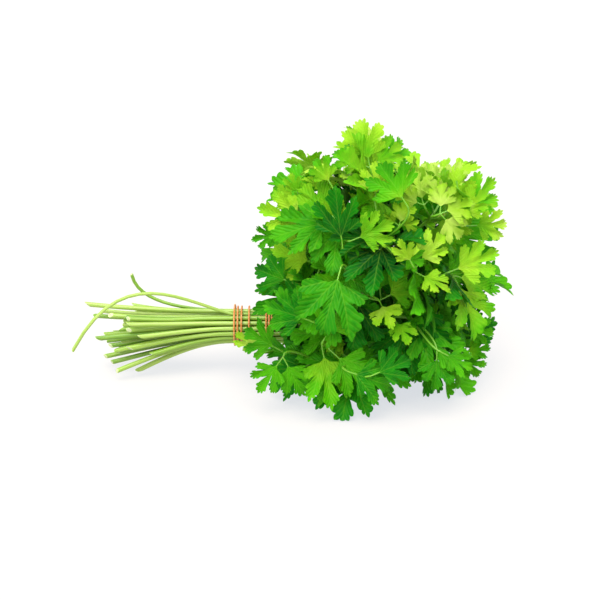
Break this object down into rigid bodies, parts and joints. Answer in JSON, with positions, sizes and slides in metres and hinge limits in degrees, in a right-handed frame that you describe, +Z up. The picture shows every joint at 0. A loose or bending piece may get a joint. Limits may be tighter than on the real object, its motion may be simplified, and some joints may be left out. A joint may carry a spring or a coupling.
{
  "type": "parsley bunch",
  "caption": "Bunch of flat-leaf parsley lying on its side: a full head of cut leaves on long pale stems, tied by a wound rubber band.",
  "frame": {"origin": "on the surface that the bunch lies on, in the middle of the flat leaf under its head", "axes": "+X along the stems from their cut ends to the leaves, +Z up, -Y towards the viewer"},
  "size_m": [0.3014, 0.1925, 0.1769],
  "materials": {
    "parsley": "satin green leaf blades on pale yellow-green stems",
    "band": "satin"
  },
  "bodies": {
    "root": {"leafy_stem_01": "parsley", "leafy_stem_02": "parsley", "leafy_stem_03": "parsley", "leafy_stem_04": "parsley", "leafy_stem_05": "parsley", "leafy_stem_06": "parsley", "leafy_stem_07": "parsley", "leafy_stem_08": "parsley", "leafy_stem_09": "parsley", "leafy_stem_10": "parsley", "leafy_stem_11": "parsley", "leafy_stem_12": "parsley", "leafy_stem_13": "parsley", "leafy_stem_14": "parsley", "leafy_stem_15": "parsley", "leafy_stem_16": "parsley", "leafy_stem_17": "parsley", "leafy_stem_18": "parsley", "leafy_stem_19": "parsley", "leafy_stem_20": "parsley", "leafy_stem_21": "parsley", "leafy_stem_22": "parsley", "leafy_stem_23": "parsley", "leafy_stem_24": "parsley", "leafy_stem_25": "parsley", "leafy_stem_26": "parsley", "leafy_stem_27": "parsley", "leafy_stem_28": "parsley", "leafy_stem_29": "parsley", "leafy_stem_30": "parsley", "leafy_stem_31": "parsley", "leafy_stem_32": "parsley", "leafy_stem_33": "parsley", "leafy_stem_34": "parsley", "leafy_stem_35": "parsley", "leafy_stem_36": "parsley", "leafy_stem_37": "parsley", "rubber_band": "band"}
  },
  "joints": []
}
